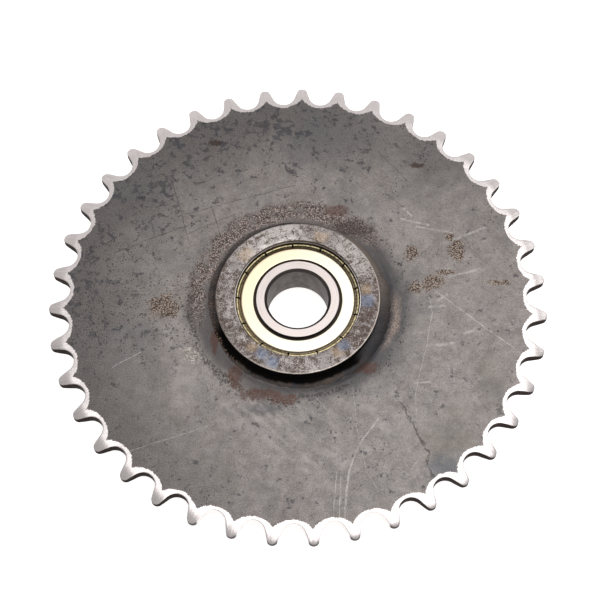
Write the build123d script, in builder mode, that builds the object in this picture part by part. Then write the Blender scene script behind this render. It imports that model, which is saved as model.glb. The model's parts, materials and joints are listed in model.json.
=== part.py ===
from build123d import *
from math import acos, asin, atan2, cos, degrees, hypot, radians, sin, sqrt
import os

# Plate sprocket for a 1/2 inch pitch chain, welded to a hub that turns on a shielded
# deep-groove ball bearing. Units are millimetres.
# Origin: centre of the bearing, on its axis. +Z runs along the axis towards the front,
# which is the side with the hub's retaining lip. All parts are turned or stamped about Z.

# Chain wheel
teeth = 39
chain_pitch = 12.7
pitch_radius = chain_pitch / 2 / sin(radians(180 / teeth))
roller_seat_radius = 4.0
tip_radius = 81.6
tip_rounding = 1.7
first_tooth_angle = -4.04
plate_thickness = 4.0
plate_front = 4.15
plate_rear = plate_front - plate_thickness
side_relief_radius = chain_pitch
side_relief_depth = 0.92

# Hub
hub_radius = 26.8
hub_front = 8.1
hub_rear = -10.3
hub_front_rounding = 0.5
hub_rear_chamfer = 0.5
lip_radius = 20.6
lip_edge_chamfer = 0.2
seat_lead_in = 0.4

# Ball bearing, 20 mm bore, 47 mm outside, 14 mm wide
bore_radius = 10.0
bore_chamfer = 0.9
seat_radius = 23.5
outer_corner = 1.0
half_width = 7.0
balls = 8
ball_radius = 7.938 / 2
ball_circle_radius = 33.5 / 2
running_gap = 0.03
inner_groove_radius = 0.515 * 2 * ball_radius
outer_groove_radius = 0.52 * 2 * ball_radius
inner_face_radius = 13.5
inner_shoulder_radius = 14.4
inner_shoulder_half_width = 5.7
outer_shoulder_radius = 19.2
shield_recess_radius = 20.4
shield_recess_floor = 5.2

# Shield, pressed from sheet
shield_sheet = 0.4
shield_face = 6.35
shield_hole_radius = 14.43
shield_flat_radius = 18.35
shield_valley_radius = 19.0
shield_valley = 5.95
shield_rim_crest_radius = 19.75
shield_rim_crest = 6.45
notches = 13
first_notch_angle = 94.2
notch_width = 0.35
notch_length = 1.4

# Ribbon cage
cage_sheet = 0.6
cage_inner_radius = 15.0
cage_outer_radius = 18.5
pocket_clearance = 0.15
rivet_radius = 0.7
rivet_head_radius = 1.15
rivet_head_height = 0.45

# Internal retaining ring in a groove behind the bearing
ring_groove_radius = 24.75
ring_groove_width = 1.85
ring_thickness = 1.75
ring_outer_radius = 24.7
ring_inner_radius = 21.6
ring_taper_offset = 0.9
ring_lug_circle_radius = 20.9
ring_lug_radius = 2.6
ring_lug_hole_radius = 1.25
ring_lug_angle = 14.0
ring_gap_angle = 7.0

# Fillet welds
front_weld_leg_on_plate = 4.8
front_weld_leg_on_hub = 2.2
rear_weld_leg = 3.4
weld_crown = 0.35


def export_node(builder, node):
    """Label a finished sub-part and write it as one STEP file."""
    builder.part.label = node
    export_step(builder.part, f"parts/{node}.step")


def on_tooth(along, across, angle):
    """Point given along and across the centreline of the tooth that points at an angle."""
    turn = radians(angle)
    return (along * cos(turn) - across * sin(turn), along * sin(turn) + across * cos(turn))


os.makedirs("parts", exist_ok=True)

# Tooth flank: the straight line that touches both the rounded tip and the roller seat.
half_step = 180 / teeth
seat_along = pitch_radius * cos(radians(half_step))
seat_across = pitch_radius * sin(radians(half_step))
tip_centre = tip_radius - tip_rounding
centre_distance = hypot(seat_along - tip_centre, seat_across)
centre_line_angle = degrees(atan2(seat_along - tip_centre, seat_across))
tangent_angle = degrees(acos((tip_rounding + roller_seat_radius) / centre_distance))
flank_angle = centre_line_angle + tangent_angle
flank_sin = sin(radians(flank_angle))
flank_cos = cos(radians(flank_angle))
flank_top = (tip_centre + tip_rounding * flank_sin, tip_rounding * flank_cos)
flank_foot = (seat_along - roller_seat_radius * flank_sin, seat_across - roller_seat_radius * flank_cos)
root_radius = pitch_radius - roller_seat_radius
relief_length = sqrt(2 * side_relief_radius * side_relief_depth - side_relief_depth**2)
relief_start = tip_radius - relief_length
relief_middle = relief_length / 2
relief_middle_depth = side_relief_radius - sqrt(side_relief_radius**2 - relief_middle**2)

with BuildPart() as sprocket_plate:
    with BuildSketch(Plane.XZ) as plate_section:
        with BuildLine():
            Polyline(
                (relief_start, plate_front),
                (hub_radius, plate_front),
                (hub_radius, plate_rear),
                (relief_start, plate_rear),
            )
            ThreePointArc(
                (relief_start, plate_rear),
                (relief_start + relief_middle, plate_rear + relief_middle_depth),
                (tip_radius, plate_rear + side_relief_depth),
            )
            Line((tip_radius, plate_rear + side_relief_depth), (tip_radius, plate_front - side_relief_depth))
            ThreePointArc(
                (tip_radius, plate_front - side_relief_depth),
                (relief_start + relief_middle, plate_front - relief_middle_depth),
                (relief_start, plate_front),
            )
        make_face()
    revolve(axis=Axis.Z)
    with BuildSketch(Plane.XY.offset(plate_rear)) as tooth_outline:
        with BuildLine():
            for tooth in range(teeth):
                here = first_tooth_angle + tooth * 2 * half_step
                following = here + 2 * half_step
                ThreePointArc(
                    on_tooth(flank_top[0], -flank_top[1], here),
                    on_tooth(tip_radius, 0, here),
                    on_tooth(flank_top[0], flank_top[1], here),
                )
                Line(
                    on_tooth(flank_top[0], flank_top[1], here),
                    on_tooth(flank_foot[0], flank_foot[1], here),
                )
                ThreePointArc(
                    on_tooth(flank_foot[0], flank_foot[1], here),
                    on_tooth(root_radius, 0, here + half_step),
                    on_tooth(flank_foot[0], -flank_foot[1], following),
                )
                Line(
                    on_tooth(flank_foot[0], -flank_foot[1], following),
                    on_tooth(flank_top[0], -flank_top[1], following),
                )
        make_face()
    extrude(amount=plate_thickness, mode=Mode.INTERSECT)
export_node(sprocket_plate, "sprocket_plate")

with BuildPart() as hub_housing:
    with BuildSketch(Plane.XZ) as hub_section:
        with BuildLine():
            Polyline(
                (lip_radius, hub_front),
                (hub_radius, hub_front),
                (hub_radius, hub_rear),
                (seat_radius, hub_rear),
                (seat_radius, -half_width - ring_groove_width),
                (ring_groove_radius, -half_width - ring_groove_width),
                (ring_groove_radius, -half_width),
                (seat_radius, -half_width),
                (seat_radius, half_width),
                (lip_radius, half_width),
                close=True,
            )
        make_face()
    revolve(axis=Axis.Z)
    front_edges = hub_housing.edges().filter_by(GeomType.CIRCLE).group_by(Axis.Z)[-1]
    fillet(front_edges.sort_by(SortBy.RADIUS)[-1], radius=hub_front_rounding)
    front_edges = hub_housing.edges().filter_by(GeomType.CIRCLE).group_by(Axis.Z)[-1]
    chamfer(front_edges.sort_by(SortBy.RADIUS)[0], length=lip_edge_chamfer)
    rear_edges = hub_housing.edges().filter_by(GeomType.CIRCLE).group_by(Axis.Z)[0].sort_by(SortBy.RADIUS)
    chamfer(rear_edges[-1], length=hub_rear_chamfer)
    rear_edges = hub_housing.edges().filter_by(GeomType.CIRCLE).group_by(Axis.Z)[0].sort_by(SortBy.RADIUS)
    chamfer(rear_edges[0], length=seat_lead_in)
export_node(hub_housing, "hub_housing")


def weld_bead(plate_face, leg_on_plate, leg_on_hub, outward):
    """Ring of fillet weld with a slightly crowned face; outward is +1 in front and -1 behind."""
    toe = (hub_radius + leg_on_plate, plate_face)
    top = (hub_radius, plate_face + outward * leg_on_hub)
    slope = hypot(leg_on_plate, leg_on_hub)
    crown = (
        (toe[0] + top[0]) / 2 + weld_crown * leg_on_hub / slope,
        (toe[1] + top[1]) / 2 + outward * weld_crown * leg_on_plate / slope,
    )
    with BuildPart() as bead:
        with BuildSketch(Plane.XZ):
            with BuildLine():
                Line((hub_radius, plate_face), toe)
                ThreePointArc(toe, crown, top)
                Line(top, (hub_radius, plate_face))
            make_face()
        revolve(axis=Axis.Z)
    return bead


front_weld_bead = weld_bead(plate_front, front_weld_leg_on_plate, front_weld_leg_on_hub, 1)
export_node(front_weld_bead, "front_weld_bead")
rear_weld_bead = weld_bead(plate_rear, rear_weld_leg, rear_weld_leg, -1)
export_node(rear_weld_bead, "rear_weld_bead")

with BuildPart() as retaining_ring:
    with BuildSketch(Plane.XY.offset(-half_width - ring_thickness)) as ring_outline:
        Circle(ring_outer_radius)
        with Locations((0, ring_taper_offset)):
            Circle(ring_inner_radius, mode=Mode.SUBTRACT)
        with PolarLocations(ring_lug_circle_radius, 2, start_angle=90 - ring_lug_angle,
                            angular_range=2 * ring_lug_angle, endpoint=True):
            Circle(ring_lug_radius)
            Circle(ring_lug_hole_radius, mode=Mode.SUBTRACT)
        with BuildLine():
            Polyline(
                (0, 0),
                on_tooth(2 * ring_outer_radius, 0, 90 - ring_gap_angle),
                on_tooth(2 * ring_outer_radius, 0, 90 + ring_gap_angle),
                close=True,
            )
        make_face(mode=Mode.SUBTRACT)
    extrude(amount=ring_thickness)
export_node(retaining_ring, "retaining_ring")

# The raceway grooves are arcs; each floor is one running gap away from the balls.
outer_groove_floor = ball_circle_radius + ball_radius + running_gap
outer_groove_centre = outer_groove_floor - outer_groove_radius
outer_groove_half_width = sqrt(outer_groove_radius**2 - (outer_shoulder_radius - outer_groove_centre) ** 2)
inner_groove_floor = ball_circle_radius - ball_radius - running_gap
inner_groove_centre = inner_groove_floor + inner_groove_radius
inner_groove_half_width = sqrt(inner_groove_radius**2 - (inner_groove_centre - inner_shoulder_radius) ** 2)

with BuildPart() as bearing_outer_ring:
    with BuildSketch(Plane.XZ) as outer_ring_section:
        with BuildLine():
            Polyline(
                (outer_shoulder_radius, outer_groove_half_width),
                (outer_shoulder_radius, shield_recess_floor),
                (shield_recess_radius, shield_recess_floor),
                (shield_recess_radius, half_width),
                (seat_radius, half_width),
                (seat_radius, -half_width),
                (shield_recess_radius, -half_width),
                (shield_recess_radius, -shield_recess_floor),
                (outer_shoulder_radius, -shield_recess_floor),
                (outer_shoulder_radius, -outer_groove_half_width),
            )
            ThreePointArc(
                (outer_shoulder_radius, -outer_groove_half_width),
                (outer_groove_floor, 0),
                (outer_shoulder_radius, outer_groove_half_width),
            )
        make_face()
    revolve(axis=Axis.Z)
    outside_edges = bearing_outer_ring.edges().filter_by(GeomType.CIRCLE).group_by(SortBy.RADIUS)[-1]
    fillet(outside_edges, radius=outer_corner)
export_node(bearing_outer_ring, "bearing_outer_ring")

with BuildPart() as bearing_inner_ring:
    with BuildSketch(Plane.XZ) as inner_ring_section:
        with BuildLine():
            Polyline(
                (inner_shoulder_radius, inner_groove_half_width),
                (inner_shoulder_radius, inner_shoulder_half_width),
                (inner_face_radius, inner_shoulder_half_width),
                (inner_face_radius, half_width),
                (bore_radius + bore_chamfer, half_width),
                (bore_radius, half_width - bore_chamfer),
                (bore_radius, bore_chamfer - half_width),
                (bore_radius + bore_chamfer, -half_width),
                (inner_face_radius, -half_width),
                (inner_face_radius, -inner_shoulder_half_width),
                (inner_shoulder_radius, -inner_shoulder_half_width),
                (inner_shoulder_radius, -inner_groove_half_width),
            )
            ThreePointArc(
                (inner_shoulder_radius, -inner_groove_half_width),
                (inner_groove_floor, 0),
                (inner_shoulder_radius, inner_groove_half_width),
            )
        make_face()
    revolve(axis=Axis.Z)
export_node(bearing_inner_ring, "bearing_inner_ring")


def shield(outward):
    """Pressed shield: flat web, rounded valley and a notched rim curled over the recess edge."""
    rim_foot_radius = shield_recess_radius
    rim_floor = shield_recess_floor
    with BuildPart() as sheet:
        with BuildSketch(Plane.XZ):
            with BuildLine():
                Polyline(
                    (shield_hole_radius, outward * shield_face),
                    (shield_flat_radius, outward * shield_face),
                    (shield_valley_radius - 2 * shield_sheet / 3, outward * shield_valley),
                    (shield_valley_radius + shield_sheet / 3, outward * shield_valley),
                    (shield_rim_crest_radius - shield_sheet / 2, outward * shield_rim_crest),
                    (shield_rim_crest_radius + shield_sheet / 2, outward * shield_rim_crest),
                    (rim_foot_radius, outward * (rim_floor + shield_sheet)),
                    (rim_foot_radius, outward * rim_floor),
                    (rim_foot_radius - shield_sheet, outward * rim_floor),
                    (shield_rim_crest_radius, outward * (shield_rim_crest - shield_sheet)),
                    (shield_valley_radius + shield_sheet, outward * (shield_valley - shield_sheet)),
                    (shield_valley_radius - shield_sheet, outward * (shield_valley - shield_sheet)),
                    (shield_flat_radius - shield_sheet / 2, outward * (shield_face - shield_sheet)),
                    (shield_hole_radius, outward * (shield_face - shield_sheet)),
                    close=True,
                )
            make_face()
        revolve(axis=Axis.Z)
        with BuildSketch(Plane.XY.offset(outward * half_width)):
            with PolarLocations(shield_recess_radius - notch_length / 2, notches, start_angle=first_notch_angle):
                Rectangle(notch_length, notch_width)
        extrude(amount=-outward * (half_width - shield_valley), mode=Mode.SUBTRACT)
    return sheet


front_shield = shield(1)
export_node(front_shield, "front_shield")
rear_shield = shield(-1)
export_node(rear_shield, "rear_shield")


def cage_half(outward):
    """Pressed ring with a part-spherical pocket round each ball and a rivet hole between them."""
    pocket_radius = ball_radius + pocket_clearance
    with BuildPart() as half:
        with BuildSketch():
            Circle(cage_outer_radius)
        extrude(amount=outward * cage_sheet)
        with PolarLocations(ball_circle_radius, balls):
            Sphere(pocket_radius + cage_sheet)
        with BuildSketch():
            Circle(cage_outer_radius)
            Circle(cage_inner_radius, mode=Mode.SUBTRACT)
        extrude(amount=outward * 2 * pocket_radius, mode=Mode.INTERSECT)
        with PolarLocations(ball_circle_radius, balls):
            Sphere(pocket_radius, mode=Mode.SUBTRACT)
        with PolarLocations(ball_circle_radius, balls, start_angle=180 / balls):
            Hole(rivet_radius)
    return half


cage_front_half = cage_half(1)
export_node(cage_front_half, "cage_front_half")
cage_rear_half = cage_half(-1)
export_node(cage_rear_half, "cage_rear_half")

with BuildPart() as cage_rivets:
    with PolarLocations(ball_circle_radius, balls, start_angle=180 / balls):
        Cylinder(rivet_radius, 2 * cage_sheet)
    for outward in (1, -1):
        with BuildSketch(Plane.XY.offset(outward * cage_sheet)):
            with PolarLocations(ball_circle_radius, balls, start_angle=180 / balls):
                Circle(rivet_head_radius)
        extrude(amount=outward * rivet_head_height)
    head_rims = cage_rivets.edges().filter_by(GeomType.CIRCLE).group_by(Axis.Z)
    chamfer(head_rims[0] + head_rims[-1], length=rivet_head_height / 2)
export_node(cage_rivets, "cage_rivets")

for ball_number in range(1, balls + 1):
    ball_angle = (ball_number - 1) * 360 / balls
    with BuildPart() as ball:
        with Locations(on_tooth(ball_circle_radius, 0, ball_angle)):
            Sphere(ball_radius)
    export_node(ball, f"ball_{ball_number}")
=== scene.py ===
import json
from math import acos, atan2, cos, degrees, hypot, pi, radians, sin

import bpy
import numpy as np
from mathutils import Matrix, Vector, noise


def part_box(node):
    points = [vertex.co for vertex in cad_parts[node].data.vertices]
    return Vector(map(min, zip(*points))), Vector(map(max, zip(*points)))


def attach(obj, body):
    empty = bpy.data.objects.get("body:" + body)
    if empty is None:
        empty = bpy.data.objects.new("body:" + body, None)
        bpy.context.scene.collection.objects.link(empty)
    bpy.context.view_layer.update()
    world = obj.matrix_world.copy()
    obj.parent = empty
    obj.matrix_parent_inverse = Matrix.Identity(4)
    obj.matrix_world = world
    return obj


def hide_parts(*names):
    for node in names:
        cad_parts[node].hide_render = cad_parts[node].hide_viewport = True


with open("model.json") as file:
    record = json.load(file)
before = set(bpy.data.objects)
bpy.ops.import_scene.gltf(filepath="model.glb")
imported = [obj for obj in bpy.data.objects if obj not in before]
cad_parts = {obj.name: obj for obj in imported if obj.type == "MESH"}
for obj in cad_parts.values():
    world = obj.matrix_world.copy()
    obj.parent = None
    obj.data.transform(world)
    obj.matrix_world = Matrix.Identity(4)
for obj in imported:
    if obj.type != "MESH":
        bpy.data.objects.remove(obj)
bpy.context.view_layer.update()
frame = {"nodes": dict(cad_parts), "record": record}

MM = 0.001
NODES = frame["nodes"]

# Chain wheel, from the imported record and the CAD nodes. Lengths are in millimetres.
PITCH_CIRCLE = next(m for m in frame["record"]["mounts"] if m["name"] == "chain_pitch_circle")["dims"]
TEETH = int(PITCH_CIRCLE["count"])
PITCH_RADIUS = PITCH_CIRCLE["pcd_mm"] / 2
HALF_STEP = pi / TEETH
PLATE_LOW, PLATE_HIGH = (corner.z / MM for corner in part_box("sprocket_plate"))
HUB_LOW, HUB_HIGH = (corner.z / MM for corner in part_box("hub_housing"))
HUB_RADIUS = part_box("hub_housing")[1].x / MM
TIP_RADIUS = max(v.co.xy.length for v in NODES["sprocket_plate"].data.vertices) / MM
FIRST_TOOTH_ANGLE = radians(-4.04)
ROLLER_SEAT_RADIUS = 4.0
TIP_ROUNDING = 1.7

# Machined band round each tooth gap
SIDE_RELIEF_RADIUS = 12.7
SIDE_RELIEF_LENGTH = 4.75
CUSP_RADIUS = TIP_RADIUS - SIDE_RELIEF_LENGTH
RIDGE_END_RADIUS = TIP_RADIUS - 0.8
ROOT_BAND = 1.17
DEBURR_DEPTH = 0.05
EDGE_ROUNDING = 0.05

# Fineness of the plate's mesh: steps along half a tooth, and how the rows lie across it
SEAT_STEPS = 14
FLANK_STEPS = 6
TIP_STEPS = 9
BAND_ROWS = [0, 0.04, 0.12, 0.25, 0.4, 0.55, 0.7, 0.85, 1]
BLEND_ROWS = [0.06, 0.15, 0.3, 0.5, 0.75, 1]
EVEN_RADIUS = 70
EVEN_RINGS = 14
HEATED_RINGS = 26
WALL_LEVELS = 5
MERGE_DISTANCE = 0.00005

# Weld and the heated zone round it. The legs and rises are (azimuth in degrees, length).
WELD_TOE = 2.6
WELD_RIPPLE = 1.05
WELD_FOOT_DEPTH = 0.3
HEATED_RADIUS = 38.0
FRONT_WELD_LEGS = [
    (0, 3.6), (40, 2.4), (80, 2.2), (120, 3.0), (170, 2.4), (205, 2.3), (240, 3.0), (290, 3.4),
    (330, 4.0),
]
FRONT_WELD_RISES = [
    (0, 2.4), (40, 3.3), (80, 2.6), (120, 1.5), (170, 1.5), (205, 1.1), (240, 0.5), (290, 0.6),
    (330, 1.5),
]
REAR_WELD_LEGS = [(0, 3.4), (120, 3.8), (240, 3.2)]
REAR_WELD_RISES = [(0, 3.2), (120, 2.8), (240, 3.3)]
FRONT_WELD_SEED = 1.0
REAR_WELD_SEED = 21.0

# Hub
FRONT_EDGE_ROUNDING = 0.25
LIP_RADIUS = 20.6
BEARING_SEAT_RADIUS = 23.5
BEARING_FACE = 7.0
RING_GROOVE_RADIUS = 24.75
RING_GROOVE_REAR = -8.85
REAR_CHAMFER = 0.4
DENT_SEED = 40
SCUFF_SEED = 41

# Inner ring and shield
BORE_RADIUS = 10.0
BORE_CHAMFER_RADIUS = 10.8
SHOULDER_RADIUS = 13.42
SHIELD_HOLE_RADIUS = 14.43
VALLEY_RADIUS = 18.3
SHIELD_RIM_RADIUS = 20.36
SHIELD_FOOT = 5.3
NOTCHES = 13
FIRST_NOTCH_ANGLE = radians(94.2)
NOTCH_WIDTH = 0.5
NOTCH_INNER_RADIUS = 19.25
NOTCH_MIDDLE_RADIUS = 19.7
NOTCH_FLOOR = 5.72

# Heights between which the marks of the plate's front fade in, half way through the plate
FRONT_MARKS = (1.9, 2.3)

# Radius at which grain that runs round the axis has its true length
ARC_RADIUS = 81.6

# Camera and stage
LENS = 100.75
SENSOR_WIDTH = 36
CAMERA_TILT = 24.2
CAMERA_ROLL = -0.77
CAMERA_DISTANCE = 550.34 * MM
CAMERA_AIM = Vector((0.75, 1.0, 3.65)) * MM
FLOOR_HALF = 1.5
FLOOR_GAP = 0.1


# ---- meshes


def add_object(name, data):
    made = bpy.data.objects.new(name, data)
    bpy.context.scene.collection.objects.link(made)
    return made


def add_piece(name, vertices, faces, body, materials, replaced, sharp, face_material=None):
    """A closed mesh piece in millimetres that rides on a body and stands for CAD nodes."""
    mesh = bpy.data.meshes.new(name)
    mesh.from_pydata([tuple(float(c) * MM for c in v) for v in vertices], [], faces)
    for material in materials:
        mesh.materials.append(material)
    if face_material is not None:
        mesh.polygons.foreach_set("material_index", face_material)
    mesh.polygons.foreach_set("use_smooth", [True] * len(mesh.polygons))
    mesh.set_sharp_from_angle(angle=radians(sharp))
    mesh.update()
    piece = add_object(name, mesh)
    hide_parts(*replaced)
    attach(piece, body)


def revolve(sections):
    """Closed ring from (angle, profile) sections, with equally long (radius, height) profiles."""
    count, rows = len(sections), len(sections[0][1])
    vertices = [(r * cos(angle), r * sin(angle), h) for angle, profile in sections for r, h in profile]
    faces = []
    for i in range(count):
        here, following = i * rows, (i + 1) % count * rows
        for j in range(rows):
            after = (j + 1) % rows
            faces.append((here + j, following + j, following + after, here + after))
    return vertices, faces


def smooth_profile(points, cuts=3):
    """Catmull-Rom curve through an open list of (radius, height) points."""
    made = []
    for k in range(len(points) - 1):
        p0 = Vector(points[max(k - 1, 0)])
        p1, p2 = Vector(points[k]), Vector(points[k + 1])
        p3 = Vector(points[min(k + 2, len(points) - 1)])
        for c in range(cuts):
            t = c / cuts
            a = 2 * p1 + (p2 - p0) * t + (2 * p0 - 5 * p1 + 4 * p2 - p3) * t * t
            made.append((a + (3 * p1 - p0 - 3 * p2 + p3) * t**3) / 2)
    made.append(Vector(points[-1]))
    return made


def smooth_step(value, low, high):
    t = np.clip((value - low) / (high - low), 0, 1)
    return t * t * (3 - 2 * t)


def wander(angle, scale, seed, octaves=3):
    """Smooth random value round the axis, the same after a full turn."""
    place = Vector((cos(angle) * scale, sin(angle) * scale, seed))
    return noise.fractal(place, 1.0, 2.0, octaves)


# ---- toothed plate


def from_tooth(along, across):
    """Point at a place along and across the centreline of the tooth next to the +X gap."""
    return (
        along * cos(HALF_STEP) + across * sin(HALF_STEP),
        along * sin(HALF_STEP) - across * cos(HALF_STEP),
    )


def tooth_outline():
    """Points from a gap's centreline (+X) to the next tooth's: roller seat, straight flank and tip."""
    seat_along, seat_across = PITCH_RADIUS * cos(HALF_STEP), PITCH_RADIUS * sin(HALF_STEP)
    tip_centre = TIP_RADIUS - TIP_ROUNDING
    lean = atan2(seat_along - tip_centre, seat_across)
    lean += acos((TIP_ROUNDING + ROLLER_SEAT_RADIUS) / hypot(seat_along - tip_centre, seat_across))
    foot = from_tooth(
        seat_along - ROLLER_SEAT_RADIUS * sin(lean),
        seat_across - ROLLER_SEAT_RADIUS * cos(lean),
    )
    top = from_tooth(tip_centre + TIP_ROUNDING * sin(lean), TIP_ROUNDING * cos(lean))
    seat_end = atan2(foot[1], PITCH_RADIUS - foot[0])
    outline = [
        (PITCH_RADIUS - ROLLER_SEAT_RADIUS * cos(a), ROLLER_SEAT_RADIUS * sin(a))
        for a in np.linspace(0, seat_end, SEAT_STEPS + 1)
    ]
    for t in np.linspace(0, 1, FLANK_STEPS + 1)[1:]:
        outline.append((foot[0] + (top[0] - foot[0]) * t, foot[1] + (top[1] - foot[1]) * t))
    for a in np.linspace(lean, pi / 2, TIP_STEPS + 1)[1:]:
        outline.append(from_tooth(tip_centre + TIP_ROUNDING * sin(a), TIP_ROUNDING * cos(a)))
    return np.array(outline)


def band_arc():
    """Centre (on +X) and radius of the arc round a gap on which the machined surface starts."""
    cusp = from_tooth(CUSP_RADIUS, 0)
    root = PITCH_RADIUS - ROLLER_SEAT_RADIUS - ROOT_BAND
    centre = (cusp[0] ** 2 + cusp[1] ** 2 - root**2) / (2 * (cusp[0] - root))
    return centre, centre - root


def machined_line():
    """Points that match the outline's, along that arc and then along the tooth's ridge."""
    cusp = from_tooth(CUSP_RADIUS, 0)
    turn = atan2(cusp[1], BAND_CENTRE - cusp[0])
    line = [
        (BAND_CENTRE - BAND_RADIUS * cos(a), BAND_RADIUS * sin(a))
        for a in np.linspace(0, turn, SEAT_STEPS + 1)
    ]
    for along in np.linspace(CUSP_RADIUS, RIDGE_END_RADIUS, FLANK_STEPS + TIP_STEPS + 1)[1:]:
        line.append(from_tooth(along, 0))
    return np.array(line)


BAND_CENTRE, BAND_RADIUS = band_arc()
OUTLINE, MACHINED = tooth_outline(), machined_line()


def side_relief(radius):
    """Depth that the turned side relief has taken off the face at a radius."""
    run = np.clip(radius - CUSP_RADIUS, 0, None)
    return SIDE_RELIEF_RADIUS - np.sqrt(SIDE_RELIEF_RADIUS**2 - run**2)


def heated_height(x, y):
    """Rise of the plate's face where the weld heated it: sunk next to the toe, then a low swell."""
    past_toe = np.hypot(x, y) - HUB_RADIUS - WELD_TOE
    angle = np.arctan2(y, x)
    groove = np.exp(-(((past_toe - 0.6) / 0.9) ** 2))
    swell = np.exp(-(((past_toe - 2.6) / 1.0) ** 2))
    to_right = smooth_step(np.cos(angle + radians(20)), 0.3, 0.95)
    return -0.12 * groove + (0.07 + 0.16 * to_right) * swell


def ring_points(radius, angle):
    return np.stack([radius * np.cos(angle), radius * np.sin(angle)], -1)


def web_rings():
    """Grid of points over half a tooth's sector, from the machined band's arc in to the hub."""
    start = MACHINED[: SEAT_STEPS + 1]
    start_radius = np.hypot(start[:, 0], start[:, 1])
    start_angle = np.arctan2(start[:, 1], start[:, 0])
    even_angle = np.linspace(0, HALF_STEP, SEAT_STEPS + 1)
    rings = [start]
    for t in BLEND_ROWS:
        radius = start_radius * (1 - t) + EVEN_RADIUS * t
        rings.append(ring_points(radius, start_angle * (1 - t) + even_angle * t))
    plain = np.linspace(EVEN_RADIUS, HEATED_RADIUS, EVEN_RINGS)[1:]
    heated = np.linspace(HEATED_RADIUS, HUB_RADIUS, HEATED_RINGS)[1:]
    for radius in [*plain, *heated]:
        rings.append(ring_points(radius, even_angle))
    return np.array(rings)


def half_teeth():
    """Each half tooth's place: the azimuth of its gap, and whether it is mirrored there."""
    for tooth in range(TEETH):
        for mirrored in (False, True):
            yield FIRST_TOOTH_ANGLE + HALF_STEP * (2 * tooth + 1), mirrored


def placed(grid, height, angle, mirrored):
    """Points of a grid of (x, y) over half a tooth, moved to that half tooth's place."""
    x, y = grid[..., 0], grid[..., 1] * (-1 if mirrored else 1)
    turned = [x * cos(angle) - y * sin(angle), x * sin(angle) + y * cos(angle), height]
    return np.stack(turned, -1).reshape(-1, 3)


def grid_faces(first, rows, columns, flipped):
    """Faces over a grid of points that are numbered row by row from first."""
    index = first + np.arange(rows * columns).reshape(rows, columns)
    a, b, c, d = index[:-1, :-1], index[:-1, 1:], index[1:, 1:], index[1:, :-1]
    return np.stack([a, d, c, b] if flipped else [a, b, c, d], -1).reshape(-1, 4)


def toothed_face(high):
    """Points and faces of one side of the plate."""
    spread = np.array(BAND_ROWS)[:, None]
    band = OUTLINE * (1 - spread[..., None]) + MACHINED * spread[..., None]
    band_drop = side_relief(np.hypot(band[..., 0], band[..., 1])) + DEBURR_DEPTH * (1 - spread) ** 1.3
    band_drop += EDGE_ROUNDING * np.clip(1 - spread / 0.08, 0, 1)
    web = web_rings()
    web_drop = np.zeros(web.shape[:2])

    points, faces = [], []
    first = 0
    for angle, mirrored in half_teeth():
        for grid, drop in ((band, band_drop), (web, web_drop)):
            points.append(placed(grid, drop, angle, mirrored))
            faces.append(grid_faces(first, *drop.shape, mirrored != high))
            first += drop.size
    points, faces = np.concatenate(points), np.concatenate(faces)
    lift = heated_height(points[:, 0], points[:, 1])
    if high:
        points[:, 2] = PLATE_HIGH - points[:, 2] + lift
    else:
        points[:, 2] = PLATE_LOW + points[:, 2] - lift
    return points, faces


def edge_walls(first):
    """Points, numbered from first, and faces of the tooth walls and the bore."""
    tooth_drop = side_relief(np.hypot(OUTLINE[:, 0], OUTLINE[:, 1])) + DEBURR_DEPTH + EDGE_ROUNDING
    bore = ring_points(HUB_RADIUS, np.linspace(0, HALF_STEP, SEAT_STEPS + 1))
    bore_drop = -heated_height(bore[:, 0], bore[:, 1])
    down = np.linspace(0, 1, WALL_LEVELS)[:, None]
    points, faces = [], []
    for angle, mirrored in half_teeth():
        for line, drop, outside in ((OUTLINE, tooth_drop, True), (bore, bore_drop, False)):
            height = (PLATE_HIGH - drop) * (1 - down) + (PLATE_LOW + drop) * down
            grid = np.broadcast_to(line, (*height.shape, 2))
            points.append(placed(grid, height, angle, mirrored))
            faces.append(grid_faces(first, *height.shape, mirrored != outside))
            first += height.size
    return np.concatenate(points), np.concatenate(faces)


def merged(points, faces):
    """The mesh with points at the same place made one."""
    keys = np.round(points / MERGE_DISTANCE).astype(np.int64)
    _, first, inverse = np.unique(keys, axis=0, return_index=True, return_inverse=True)
    inverse = inverse.reshape(-1)
    return points[first], [tuple(int(inverse[i]) for i in face) for face in faces]


def add_plate(scale_material, wall_material):
    """Two scaled faces with machined bands, and the cut walls between them."""
    front, front_faces = toothed_face(True)
    rear, rear_faces = toothed_face(False)
    walls, wall_faces = edge_walls(len(front) + len(rear))
    scaled = len(front_faces) + len(rear_faces)
    points, faces = merged(
        np.concatenate([front, rear, walls]),
        np.concatenate([front_faces, rear_faces + len(front), wall_faces]),
    )
    add_piece(
        "toothed_plate", points, faces, "sprocket",
        [scale_material, wall_material], ["sprocket_plate"], sharp=28,
        face_material=[0] * scaled + [1] * len(wall_faces),
    )


# ---- hub


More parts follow.
